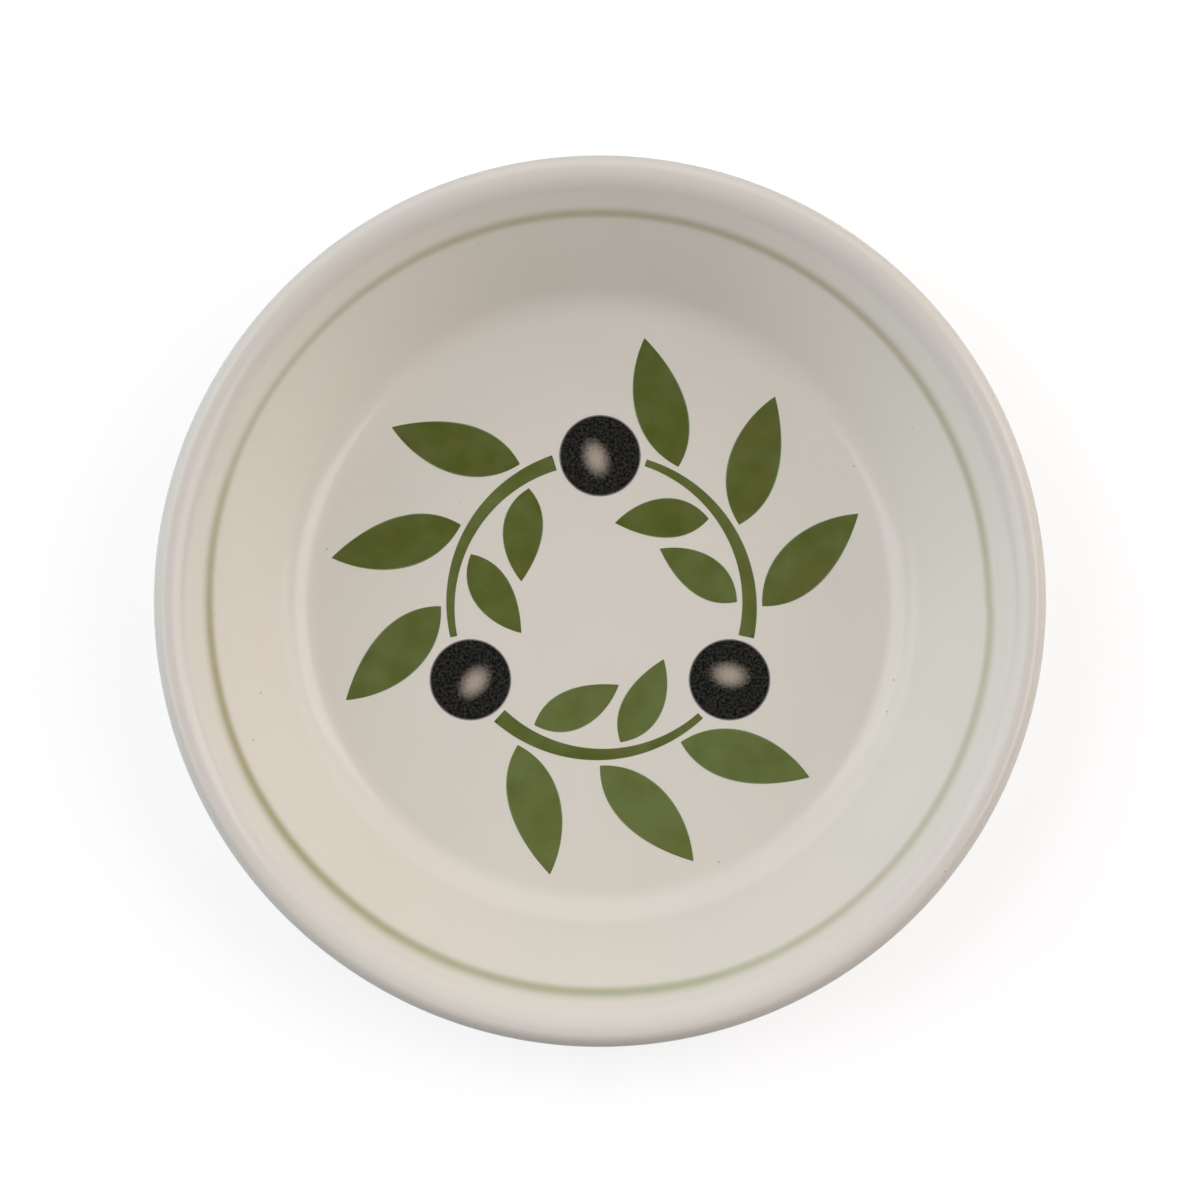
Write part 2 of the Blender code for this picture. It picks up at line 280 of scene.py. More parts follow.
# black transfer print in fine uneven grains, with a soft grey gleam and an edge that bleeds a little
berryInk = {
    "black": "#0A0A0A", "soot": "#36362F", "grain": 0.32, "grainRange": (0.36, 0.76),
    "gleam": "#A3988A", "centre": (-0.06, 0.10), "half": (0.50, 0.34), "tilt": 20.0, "fade": (0.1, 1.2),
    "gleamGrain": 0.2, "fringe": "#8B878C", "fringeFrom": 0.95,
}
berryBlack, tree, shader, place = newMaterial("berryBlack")
layGlaze(tree, shader, place)
spot = addNode(tree, "ShaderNodeAttribute", {"attribute_name": "berryMap"}).outputs["Vector"]
gleamPlace = addNode(tree, "ShaderNodeMapping", {"vector_type": "TEXTURE"}, {
    "Vector": spot, "Location": (*berryInk["centre"], 0), "Rotation": (0, 0, math.radians(berryInk["tilt"])),
    "Scale": (*berryInk["half"], 1)})
away = addNode(tree, "ShaderNodeVectorMath", {"operation": "LENGTH"}, {0: gleamPlace}).outputs["Value"]
grain = addNode(tree, "ShaderNodeTexNoise", {}, {
    "Vector": place, "Scale": 1 / (berryInk["grain"] * mm), "Detail": 2.0})
ragged = addNode(tree, "ShaderNodeMapRange", {}, {
    "Value": grain, "To Min": berryInk["gleamGrain"], "To Max": -berryInk["gleamGrain"]})
away = addNode(tree, "ShaderNodeMath", {"operation": "ADD"}, {0: away, 1: ragged})
gleam = addNode(tree, "ShaderNodeMapRange", {"interpolation_type": "SMOOTHSTEP"}, {
    "Value": away, "From Min": berryInk["fade"][0], "From Max": berryInk["fade"][1],
    "To Min": 1.0, "To Max": 0.0})
speckle = addNode(tree, "ShaderNodeMapRange", {}, {
    "Value": grain, "From Min": berryInk["grainRange"][0], "From Max": berryInk["grainRange"][1]})
berryColour = addNode(tree, "ShaderNodeMix", {"data_type": "RGBA"}, {
    0: speckle, 6: toLinear(berryInk["black"]), 7: toLinear(berryInk["soot"])})
berryColour = addNode(tree, "ShaderNodeMix", {"data_type": "RGBA"}, {
    0: gleam, 6: berryColour.outputs[2], 7: toLinear(berryInk["gleam"])})
outside = addNode(tree, "ShaderNodeVectorMath", {"operation": "LENGTH"}, {0: spot}).outputs["Value"]
fringe = addNode(tree, "ShaderNodeMapRange", {"interpolation_type": "SMOOTHSTEP"}, {
    "Value": outside, "From Min": berryInk["fringeFrom"], "From Max": 1.0})
berryColour = addNode(tree, "ShaderNodeMix", {"data_type": "RGBA"}, {
    0: fringe, 6: berryColour.outputs[2], 7: toLinear(berryInk["fringe"])})
tree.links.new(berryColour.outputs[2], shader.inputs["Base Color"])
print("finishes: glossGlaze, bareClay, bandGreen, leafGreen, berryBlack")


# Turned pieces

dish = {
    "rimRadius": 50.0, "height": 20.0, "wellRadius": 34.5, "floor": 7.0, "wall": 4.0, "lipTop": 3.0,
    "wellRound": 5.8, "lipInnerRound": 3.9, "lipOuterRound": 1.3, "lipUnderRound": 2.0, "kneeRound": 6.0,
    "footHeight": 3.0, "footOutside": 31.2, "footInside": 26.8, "footRound": 1.5, "footEdgeRound": 0.5,
    "glaze": 0.4, "glazeStop": 1.2,
    "arcStep": 3.0, "longestRun": 0.5, "hiddenStep": 4, "turnSteps": 288, "weld": 0.001,
    "ringHeight": 0.012, "ringPitch": 1.1, "sharp": 35.0,
}
wallRun = dish["rimRadius"] - dish["lipTop"] - dish["wellRadius"]
wallUp = Vector((wallRun, dish["height"] - dish["floor"])).normalized()
wallOut = Vector((wallUp.y, -wallUp.x))
wallSlope = math.atan2(wallUp.y, wallUp.x)
flatRadius = dish["wellRadius"] - dish["wellRound"] * math.tan(wallSlope / 2)


def rounded(corners):
    # points and outward normals along a section with corners of (radius, height, round)
    places = [Vector(corner[:2]) for corner in corners]
    runs = [(b - a).normalized() for a, b in zip(places, places[1:])]
    turns = [0, *(after.angle_signed(before) for before, after in zip(runs, runs[1:])), 0]
    section = []
    for i, (place, turn) in enumerate(zip(places, turns)):
        way = runs[max(i - 1, 0)]
        normal = Vector((-way.y, way.x))
        swing = math.copysign(corners[i][2], turn)
        centre = place - way * abs(swing * math.tan(turn / 2)) + normal * swing
        steps = math.ceil(abs(math.degrees(turn)) / dish["arcStep"]) if swing else 0
        for k in range(steps + 1):
            swung = Matrix.Rotation(turn * k / max(steps, 1), 2) @ normal
            point = centre - swung * swing
            if k == 0 and section:  # the straight run that leads here, in short steps
                start = section[-1][0]
                count = math.ceil((point - start).length / dish["longestRun"])
                section += [(start.lerp(point, j / count), normal) for j in range(1, count)]
            section.append((point, swung))
    return section


def face(section):
    return [point for point, normal in section]


def underGlaze(section):
    # the hidden face between glaze and clay, with fewer points
    points = [point - normal * dish["glaze"] for point, normal in section]
    return points[:-1:dish["hiddenStep"]] + points[-1:]


# shades a mesh smooth, apart from its sharp edges
softened, given = newTree("smoothByAngle", {"Geometry": "Geometry", "Angle": "Float"})
smooth = addNode(softened, "GeometryNodeSetShadeSmooth", {}, {0: given["Geometry"]})
isSharp = addNode(softened, "FunctionNodeCompare", {"operation": "GREATER_THAN"}, {
    0: addNode(softened, "GeometryNodeInputMeshEdgeAngle"), 1: given["Angle"]})
smooth = addNode(softened, "GeometryNodeSetShadeSmooth", {"domain": "EDGE"}, {
    0: smooth, "Selection": isSharp, "Shade Smooth": False})
addNode(softened, "NodeGroupOutput", {}, {0: smooth})

# turns a section in the XZ plane round Z, with the faint rings that the turning tool leaves
turned, given = newTree("turnedOnWheel", {
    "Geometry": "Geometry", "Steps": "Int", "Path Radius": "Float", "Ring Height": "Float",
    "Ring Pitch": "Float", "Sharp Angle": "Float", "Material": "Material"})
path = addNode(turned, "GeometryNodeCurvePrimitiveCircle", {}, {
    "Resolution": given["Steps"], "Radius": given["Path Radius"]})
inward = addNode(turned, "ShaderNodeMath", {"operation": "MULTIPLY"}, {0: given["Path Radius"], 1: -1.0})
toPath = addNode(turned, "ShaderNodeCombineXYZ", {}, {"X": inward})
laid = addNode(turned, "GeometryNodeTransform", {}, {
    "Geometry": given["Geometry"], "Translation": toPath, "Rotation": (math.radians(90), 0, 0)})
profile = addNode(turned, "GeometryNodeMeshToCurve", {}, {0: laid})
swept = addNode(turned, "GeometryNodeCurveToMesh", {}, {"Curve": path, "Profile Curve": profile})
whole = addNode(turned, "GeometryNodeMergeByDistance", {}, {0: swept, "Distance": dish["weld"] * mm})
own = ownPlace(turned)
flat = addNode(turned, "ShaderNodeCombineXYZ", {}, {0: own[0], 1: own[1]})
radius = addNode(turned, "ShaderNodeVectorMath", {"operation": "LENGTH"}, {0: flat}).outputs["Value"]
climb = addNode(turned, "ShaderNodeMath", {"operation": "ADD"}, {0: radius, 1: own[2]})
count = addNode(turned, "ShaderNodeMath", {"operation": "DIVIDE"}, {0: climb, 1: given["Ring Pitch"]})
rings = addNode(turned, "ShaderNodeTexNoise", {"noise_dimensions": "1D"}, {
    "W": count, "Scale": 1.0, "Detail": 1.0})
relief = addNode(turned, "ShaderNodeMath", {"operation": "SUBTRACT"}, {0: rings, 1: 0.5})
relief = addNode(turned, "ShaderNodeMath", {"operation": "MULTIPLY"}, {0: relief, 1: given["Ring Height"]})
outwards = addNode(turned, "ShaderNodeVectorMath", {"operation": "SCALE"}, {
    0: addNode(turned, "GeometryNodeInputNormal"), "Scale": relief})
ringed = addNode(turned, "GeometryNodeSetPosition", {}, {0: whole, "Offset": outwards})
smooth = addNode(turned, "GeometryNodeGroup", {"node_tree": softened}, {
    0: ringed, "Angle": given["Sharp Angle"]})
endPiece(turned, smooth, given["Material"])

# draws a piece a little out of round, as a dish comes out of the kiln: only inwards and down
warp = {"inward": 0.10, "sag": 0.12, "lobes": 1.1}
warped, given = newTree("firedOutOfRound", {
    "Geometry": "Geometry", "Inward": "Float", "Sag": "Float", "Lobes": "Float",
    "Rim Radius": "Float", "Height": "Float"})
own = ownPlace(warped)
flat = addNode(warped, "ShaderNodeCombineXYZ", {}, {0: own[0], 1: own[1]})
compass = addNode(warped, "ShaderNodeVectorMath", {"operation": "NORMALIZE"}, {0: flat})
lobes = addNode(warped, "ShaderNodeTexNoise", {}, {"Vector": compass, "Scale": given["Lobes"], "Detail": 0.0})
lobe = addNode(warped, "ShaderNodeSeparateXYZ", {}, {0: lobes.outputs["Color"]})
outShare = addNode(warped, "ShaderNodeVectorMath", {"operation": "LENGTH"}, {0: flat}).outputs["Value"]
outShare = addNode(warped, "ShaderNodeMath", {"operation": "DIVIDE"}, {0: outShare, 1: given["Rim Radius"]})
upShare = addNode(warped, "ShaderNodeMath", {"operation": "DIVIDE"}, {0: own[2], 1: given["Height"]})
both = addNode(warped, "ShaderNodeMath", {"operation": "MULTIPLY"}, {0: outShare, 1: upShare})
pull = addNode(warped, "ShaderNodeMath", {"operation": "MULTIPLY"}, {0: lobe.outputs[0], 1: given["Inward"]})
pull = addNode(warped, "ShaderNodeMath", {"operation": "MULTIPLY"}, {0: pull, 1: both})
drop = addNode(warped, "ShaderNodeMath", {"operation": "MULTIPLY"}, {0: lobe.outputs[2], 1: given["Sag"]})
drop = addNode(warped, "ShaderNodeMath", {"operation": "MULTIPLY"}, {0: drop, 1: both})
pulled = addNode(warped, "ShaderNodeVectorMath", {"operation": "SCALE"}, {0: compass, "Scale": pull})
dropped = addNode(warped, "ShaderNodeCombineXYZ", {}, {2: drop})
shift = addNode(warped, "ShaderNodeVectorMath", {"operation": "ADD"}, {0: pulled, 1: dropped})
shift = addNode(warped, "ShaderNodeVectorMath", {"operation": "SCALE"}, {0: shift, "Scale": -1.0})
moved = addNode(warped, "GeometryNodeSetPosition", {}, {0: given["Geometry"], "Offset": shift})
addNode(warped, "NodeGroupOutput", {}, {0: moved})
outOfRound = (warped, {
    "Inward": warp["inward"] * mm, "Sag": warp["sag"] * mm, "Lobes": warp["lobes"],
    "Rim Radius": dish["rimRadius"] * mm, "Height": dish["height"] * mm})


def turnedPiece(name, points, material, ringHeight):
    section = bpy.data.meshes.new(name + "Section")
    corners = [(point.x * mm, 0, point.y * mm) for point in points]
    section.from_pydata(corners, [(i, i + 1) for i in range(len(corners) - 1)], [])
    return runTrees(name, [(turned, {
        "Steps": dish["turnSteps"], "Path Radius": dish["wellRadius"] * mm, "Ring Height": ringHeight * mm,
        "Ring Pitch": dish["ringPitch"] * mm, "Sharp Angle": math.radians(dish["sharp"]),
        "Material": material}), outOfRound], section)


wallFoot = Vector((dish["wellRadius"], dish["floor"])) + wallOut * dish["wall"]
lipUnder = wallFoot + wallUp * ((dish["rimRadius"] - wallFoot.x) / wallUp.x)
knee = wallFoot + wallUp * ((dish["footHeight"] - wallFoot.y) / wallUp.y)
clayOutside = dish["footOutside"] - dish["glaze"]
clayInside = dish["footInside"] + dish["glaze"]
skin = rounded([
    (0, dish["floor"], 0), (dish["wellRadius"], dish["floor"], dish["wellRound"]),
    (dish["rimRadius"] - dish["lipTop"], dish["height"], dish["lipInnerRound"]),
    (dish["rimRadius"], dish["height"], dish["lipOuterRound"]),
    (lipUnder.x, lipUnder.y, dish["lipUnderRound"]), (knee.x, knee.y, dish["kneeRound"]),
    (dish["footOutside"], dish["footHeight"], dish["footRound"]),
    (dish["footOutside"], dish["glazeStop"], 0)])
foot = rounded([
    (clayOutside, dish["glazeStop"], 0), (clayOutside, 0, dish["footEdgeRound"]),
    (clayInside, 0, dish["footEdgeRound"]), (clayInside, dish["glazeStop"], 0)])
base = rounded([
    (dish["footInside"], dish["glazeStop"], 0), (dish["footInside"], dish["footHeight"], dish["footRound"]),
    (0, dish["footHeight"], 0)])
glazeCoat = turnedPiece("glazeCoat", face(skin) + underGlaze(skin)[::-1], glossGlaze, dish["ringHeight"])
clayBody = turnedPiece("clayBody", underGlaze(skin) + face(foot)[1:-1] + underGlaze(base), bareClay, 0)
baseGlaze = turnedPiece("baseGlaze", underGlaze(base)[::-1] + face(base), glossGlaze, dish["ringHeight"])
dress(glazeCoat, "glaze", "glaze_coat")
dress(clayBody, "clay", "dish_body")
dress(baseGlaze, "glaze", "base_glaze")


# Fired colours

# the seat clears the glaze's own relief
film = {"thickness": 0.03, "seat": 0.008, "weld": 0.0001, "sharp": 35.0}
# gives a sheet the swell of a fired film: thickest inside, and run out to nothing at its edge
asFilm, given = newTree("asFilm", {
    "Geometry": "Geometry", "Thickness": "Float", "Swell": "Float", "Sharp Angle": "Float"})
lift = addNode(asFilm, "ShaderNodeMath", {"operation": "MULTIPLY"}, {
    0: given["Thickness"], 1: given["Swell"]})
lift = addNode(asFilm, "ShaderNodeVectorMath", {"operation": "SCALE"}, {
    0: addNode(asFilm, "GeometryNodeInputNormal"), "Scale": lift})
over = addNode(asFilm, "GeometryNodeSetPosition", {}, {0: given["Geometry"], "Offset": lift})
under = addNode(asFilm, "GeometryNodeFlipFaces", {}, {0: given["Geometry"]})
both = addNode(asFilm, "GeometryNodeJoinGeometry", {}, {0: under})
asFilm.links.new(over.outputs[0], both.inputs[0])
closed = addNode(asFilm, "GeometryNodeMergeByDistance", {}, {0: both, "Distance": film["weld"] * mm})
closed = addNode(asFilm, "GeometryNodeGroup", {"node_tree": softened}, {
    0: closed, "Angle": given["Sharp Angle"]})
addNode(asFilm, "NodeGroupOutput", {}, {0: closed})

# humps over a print's own map, from 0 at its edges to 1 in the middle
humps = newTree("mapHumps", {}, {"Across": "Float", "Both Ways": "Float"})[0]
printMap = addNode(humps, "GeometryNodeInputNamedAttribute", {"data_type": "FLOAT_VECTOR"}, {
    "Name": "printMap"})
rest = addNode(humps, "ShaderNodeVectorMath", {"operation": "SUBTRACT"}, {0: (1, 1, 1), 1: printMap})
hump = addNode(humps, "ShaderNodeVectorMath", {"operation": "MULTIPLY"}, {0: printMap, 1: rest})
hump = addNode(humps, "ShaderNodeVectorMath", {"operation": "SCALE"}, {0: hump, "Scale": 4.0})
hump = addNode(humps, "ShaderNodeSeparateXYZ", {}, {0: hump})
bothWays = addNode(humps, "ShaderNodeMath", {"operation": "MULTIPLY"}, {
    0: hump.outputs[0], 1: hump.outputs[1]})
addNode(humps, "NodeGroupOutput", {}, {0: hump.outputs[1], 1: bothWays})

rimLine = {
    "radius": 43.85, "width": 3.9, "waver": 0.8, "steps": 288, "across": 8, "weld": 0.001,
    "wavers": [(0, 0.2), (0.06, 0), (0.13, 0), (0.22, 0.14), (0.3, 0.28), (0.38, 0.36), (0.46, 0.66),
               (0.51, 0.5), (0.57, 0.64), (0.66, 0.5), (0.75, 0.54), (0.83, 1), (0.89, 0.96), (1, 0.2)],
    "widths": [(0, 0.75), (0.17, 0.78), (0.33, 0.74), (0.4, 0.66), (0.46, 0.8), (0.54, 0.84), (0.65, 1),
               (0.75, 1), (0.87, 0.8), (0.95, 0.8), (1, 0.75)],
}
# a line that is painted round the wall and wavers up and down it
banded, given = newTree("bandedLine", {
    "Steps": "Int", "Across": "Int", "Radius": "Float", "Height": "Float", "Slope": "Float",
    "Width": "Float", "Waver": "Float", "Film": "Float", "Sharp Angle": "Float", "Material": "Material"})
mapped, around, aside = mappedGrid(banded, given["Steps"], given["Across"])
angle = addNode(banded, "ShaderNodeMath", {"operation": "MULTIPLY"}, {0: around, 1: 2 * math.pi})
wavers = addNode(banded, "ShaderNodeFloatCurve", {}, {"Value": around})
drawCurve(wavers, rimLine["wavers"])
widths = addNode(banded, "ShaderNodeFloatCurve", {}, {"Value": around})
drawCurve(widths, rimLine["widths"])
waver = addNode(banded, "ShaderNodeMath", {"operation": "SUBTRACT"}, {0: wavers, 1: 0.5})
waver = addNode(banded, "ShaderNodeMath", {"operation": "MULTIPLY"}, {0: waver, 1: given["Waver"]})
width = addNode(banded, "ShaderNodeMath", {"operation": "MULTIPLY"}, {0: widths, 1: given["Width"]})
aside = addNode(banded, "ShaderNodeMath", {"operation": "MULTIPLY_ADD"}, {0: aside, 1: width, 2: waver})
outShare = addNode(banded, "ShaderNodeMath", {"operation": "COSINE"}, {0: given["Slope"]})
upShare = addNode(banded, "ShaderNodeMath", {"operation": "SINE"}, {0: given["Slope"]})
radius = addNode(banded, "ShaderNodeMath", {"operation": "MULTIPLY_ADD"}, {
    0: aside, 1: outShare, 2: given["Radius"]})
height = addNode(banded, "ShaderNodeMath", {"operation": "MULTIPLY_ADD"}, {
    0: aside, 1: upShare, 2: given["Height"]})
spot = aroundAxis(banded, angle, radius, height)
ring = addNode(banded, "GeometryNodeSetPosition", {}, {0: mapped, "Position": spot})
ring = addNode(banded, "GeometryNodeMergeByDistance", {}, {0: ring, "Distance": rimLine["weld"] * mm})
ring = addNode(banded, "GeometryNodeFlipFaces", {}, {0: ring})
swell = addNode(banded, "GeometryNodeGroup", {"node_tree": humps}).outputs["Across"]
ring = addNode(banded, "GeometryNodeGroup", {"node_tree": asFilm}, {
    0: ring, "Thickness": given["Film"], "Swell": swell, "Sharp Angle": given["Sharp Angle"]})
endPiece(banded, ring, given["Material"])
lineUp = (rimLine["radius"] - dish["wellRadius"]) / wallUp.x
linePlace = Vector((dish["wellRadius"], dish["floor"])) + wallUp * lineUp - wallOut * film["seat"]
lineBand = runTrees("rimLine", [(banded, {
    "Steps": rimLine["steps"] + 1, "Across": rimLine["across"] + 1, "Radius": linePlace.x * mm,
    "Height": linePlace.y * mm, "Slope": wallSlope, "Width": rimLine["width"] * mm,
    "Waver": rimLine["waver"] * mm, "Film": film["thickness"] * mm,
    "Sharp Angle": math.radians(film["sharp"]), "Material": bandGreen}), outOfRound])
dress(lineBand, "line_green", "rim_line")


# Printed wreath: its lengths are shares of the well's width, but for paintedLightReach and leafWeld in millimetres

wreath = {
    "parts": 3, "turn": 90.0, "margin": 0.0145, "gap": 0.0087, "berry": 0.1335, "stem": 0.026,
    "stemTip": 0.0116, "bend": 0.0217, "seed": 4, "midTone": 0.5, "paintedLightReach": 22.0, "toneSpread": 0.08,
    "leftHandles": ((0.22, 1.33), (0.62, 1.27)), "rightHandles": ((0.30, -1.33), (0.74, -0.80)),
    "marginSteps": 64, "leafCells": (28, 8), "leafWeld": 0.0005, "stemCells": (48, 4), "berrySteps": 64,
}
outer = {"length": 0.2175, "width": 0.093, "lean": 40.0, "side": 1, "first": 0.14, "last": 0.86, "count": 3}
inner = {"length": 0.152, "width": 0.0725, "lean": 46.0, "side": -1, "first": 0.16, "last": 0.60, "count": 2}
wellWidth = 2 * dish["wellRadius"]
gap = wreath["gap"] * wellWidth
rise = outer["length"] * wellWidth * math.sin(math.radians(outer["lean"]))
run = outer["length"] * wellWidth * math.cos(math.radians(outer["lean"]))
tips = flatRadius - (wreath["margin"] + wreath["bend"] / 2) * wellWidth
ringRadius = math.sqrt(tips ** 2 - run ** 2) - rise - wreath["stem"] * wellWidth / 2 - gap
berryTurn = 2 * math.asin((wreath["berry"] * wellWidth / 2 + gap) / (2 * ringRadius))
stemTurn = 2 * math.pi / wreath["parts"] - 2 * berryTurn
wreathTurn = math.radians(wreath["turn"])


def stemHalf(share):
    return (wreath["stem"] + (wreath["stemTip"] - wreath["stem"]) * share) * wellWidth / 2


# places round the well, the same in each part of the wreath, with the way that each one faces
placeInputs = {
    "Parts": "Int", "Count": "Int", "First Angle": "Float", "Step": "Float", "First Radius": "Float",
    "Radius Step": "Float", "Facing": "Float", "Floor": "Float"}
places, given = newTree("wreathPlaces", placeInputs, {"Points": "Geometry", "Rotation": "Rotation"})
index = addNode(places, "GeometryNodeInputIndex")
total = addNode(places, "ShaderNodeMath", {"operation": "MULTIPLY"}, {0: given["Parts"], 1: given["Count"]})
inPart = addNode(places, "ShaderNodeMath", {"operation": "MODULO"}, {0: index, 1: given["Count"]})
part = addNode(places, "ShaderNodeMath", {"operation": "DIVIDE"}, {0: index, 1: given["Count"]})
part = addNode(places, "ShaderNodeMath", {"operation": "FLOOR"}, {0: part})
partTurn = addNode(places, "ShaderNodeMath", {"operation": "DIVIDE"}, {0: 2 * math.pi, 1: given["Parts"]})
angle = addNode(places, "ShaderNodeMath", {"operation": "MULTIPLY_ADD"}, {
    0: part, 1: partTurn, 2: given["First Angle"]})
angle = addNode(places, "ShaderNodeMath", {"operation": "MULTIPLY_ADD"}, {
    0: inPart, 1: given["Step"], 2: angle})
radius = addNode(places, "ShaderNodeMath", {"operation": "MULTIPLY_ADD"}, {
    0: inPart, 1: given["Radius Step"], 2: given["First Radius"]})
spot = aroundAxis(places, angle, radius, given["Floor"])
points = addNode(places, "GeometryNodePoints", {}, {"Count": total, "Position": spot})
facing = addNode(places, "ShaderNodeMath", {"operation": "ADD"}, {0: angle, 1: given["Facing"]})
facing = addNode(places, "FunctionNodeAxisAngleToRotation", {}, {"Axis": (0, 0, 1), "Angle": facing})
addNode(places, "NodeGroupOutput", {}, {0: points, 1: facing})


def endPrint(tree, given, sheet, swell):
    # films the sheet, repeats it at its places and gives each copy a tone: paler to the front as painted
    # light, with a little random spread
    sheet = addNode(tree, "GeometryNodeGroup", {"node_tree": asFilm}, {
        0: sheet, "Thickness": given["Film"], "Swell": swell, "Sharp Angle": given["Sharp Angle"]})
    spots = addNode(tree, "GeometryNodeGroup", {"node_tree": places}, {
        name: given[name] for name in placeInputs})
    copies = addNode(tree, "GeometryNodeInstanceOnPoints", {}, {
        "Points": spots, "Instance": sheet, "Rotation": spots.outputs["Rotation"]})
    # painted light: copies nearer the front of the dish get a paler tone
    paintedFrontLight = addNode(tree, "ShaderNodeMapRange", {"clamp": False}, {
        "Value": ownPlace(tree)["Y"], "From Min": given["Painted Light Reach"], "From Max": 0.0,
        "To Max": wreath["midTone"]})
    random = addNode(tree, "FunctionNodeRandomValue", {}, {
        2: -wreath["toneSpread"], 3: wreath["toneSpread"], "Seed": given["Seed"]}).outputs[1]
    tone = addNode(tree, "ShaderNodeMath", {"operation": "ADD"}, {0: paintedFrontLight, 1: random})
    copies = addNode(tree, "GeometryNodeStoreNamedAttribute", {"domain": "INSTANCE"}, {
        "Geometry": copies, "Name": "tone", "Value": tone})
    endPiece(tree, copies, given["Material"])


printInputs = {
    **placeInputs, "Film": "Float", "Sharp Angle": "Float", "Painted Light Reach": "Float", "Seed": "Int",
    "Material": "Material"}
wreathValues = {
    "Parts": wreath["parts"], "Floor": (dish["floor"] + film["seat"]) * mm, "Film": film["thickness"] * mm,
    "Sharp Angle": math.radians(film["sharp"]), "Painted Light Reach": wreath["paintedLightReach"] * mm,
    "Seed": wreath["seed"]}

# leaves: a grid drawn out between two curves that run from the base to the tip
leafPrint, given = newTree("leafPrint", {
    "Cells Along": "Int", "Cells Across": "Int", "Tip": "Vector", "Left Base": "Vector",
    "Left Tip": "Vector", "Right Base": "Vector", "Right Tip": "Vector", **printInputs})
mapped, along, aside = mappedGrid(leafPrint, given["Cells Along"], given["Cells Across"])
across = addNode(leafPrint, "ShaderNodeMath", {"operation": "ADD"}, {0: aside, 1: 0.5})
margins = []
for hand in ("Right", "Left"):
    margin = addNode(leafPrint, "GeometryNodeCurvePrimitiveBezierSegment", {}, {
        "Resolution": wreath["marginSteps"], "Start": (0, 0, 0), "Start Handle": given[hand + " Base"],
        "End Handle": given[hand + " Tip"], "End": given["Tip"]})
    margins.append(addNode(leafPrint, "GeometryNodeSampleCurve", {"mode": "FACTOR"}, {
        "Curves": margin, "Factor": along}).outputs["Position"])
spot = addNode(leafPrint, "ShaderNodeMix", {"data_type": "VECTOR"}, {0: across, 4: margins[0], 5: margins[1]})
leaf = addNode(leafPrint, "GeometryNodeSetPosition", {}, {0: mapped, "Position": spot.outputs[1]})
leaf = addNode(leafPrint, "GeometryNodeMergeByDistance", {}, {0: leaf, "Distance": wreath["leafWeld"] * mm})
swell = addNode(leafPrint, "GeometryNodeGroup", {"node_tree": humps}).outputs["Both Ways"]
endPrint(leafPrint, given, leaf, swell)


def leafRow(name, leaf, nodes):
    length = leaf["length"] * wellWidth * mm
    half = leaf["width"] * wellWidth * mm / 2
    side = -leaf["side"]
    hands = ("Left", "Right")[::side]  # mirrored, the two margins change places
    handles = {
        f"{hand} {end}": (share[0] * length, side * share[1] * half, 0)
        for hand, shares in zip(hands, (wreath["leftHandles"], wreath["rightHandles"]))
        for end, share in zip(("Base", "Tip"), shares)}
    steps = leaf["count"] - 1
    reaches = [ringRadius + leaf["side"] * (stemHalf(leaf[end]) + gap) for end in ("first", "last")]
    piece = runTrees(name, [(leafPrint, {
        **wreathValues, **handles, "Tip": (length, side * wreath["bend"] * wellWidth * mm, 0),
        "Cells Along": wreath["leafCells"][0] + 1, "Cells Across": wreath["leafCells"][1] + 1,
        "Count": leaf["count"], "First Angle": wreathTurn + berryTurn + stemTurn * leaf["first"],
        "Step": stemTurn * (leaf["last"] - leaf["first"]) / steps,
        "First Radius": reaches[0] * mm, "Radius Step": (reaches[1] - reaches[0]) / steps * mm,
        "Facing": math.pi / 2 - leaf["side"] * math.radians(leaf["lean"]),
        "Material": leafGreen}), outOfRound])
    dress(piece, "leaf_green", *nodes)


leafRow("outerLeaves", outer, [f"outer_leaf_{i + 1}" for i in range(wreath["parts"] * outer["count"])])
leafRow("innerLeaves", inner, [f"inner_leaf_{i + 1}" for i in range(wreath["parts"] * inner["count"])])

# stems: a strip bent along the ring that narrows to its tip
stemPrint, given = newTree("stemPrint", {
    "Cells Along": "Int", "Cells Across": "Int", "Ring": "Float", "Sweep": "Float", "Width": "Float",
    "Tip Width": "Float", **printInputs})
mapped, along, aside = mappedGrid(stemPrint, given["Cells Along"], given["Cells Across"])
width = addNode(stemPrint, "ShaderNodeMapRange", {}, {
    "Value": along, "To Min": given["Width"], "To Max": given["Tip Width"]})
radius = addNode(stemPrint, "ShaderNodeMath", {"operation": "MULTIPLY_ADD"}, {
    0: aside, 1: width, 2: given["Ring"]})
angle = addNode(stemPrint, "ShaderNodeMath", {"operation": "MULTIPLY"}, {0: along, 1: given["Sweep"]})
spot = aroundAxis(stemPrint, angle, radius, 0.0)
stem = addNode(stemPrint, "GeometryNodeSetPosition", {}, {0: mapped, "Position": spot})
stem = addNode(stemPrint, "GeometryNodeFlipFaces", {}, {0: stem})
swell = addNode(stemPrint, "GeometryNodeGroup", {"node_tree": humps}).outputs["Both Ways"]
endPrint(stemPrint, given, stem, swell)
stems = runTrees("stems", [(stemPrint, {
    **wreathValues, "Cells Along": wreath["stemCells"][0] + 1, "Cells Across": wreath["stemCells"][1] + 1,
    "Ring": ringRadius * mm, "Sweep": stemTurn, "Width": 2 * stemHalf(0) * mm,
    "Tip Width": 2 * stemHalf(1) * mm, "Count": 1, "First Angle": wreathTurn + berryTurn,
    "Material": leafGreen}), outOfRound])
dress(stems, "leaf_green", *[f"stem_{i + 1}" for i in range(wreath["parts"])])

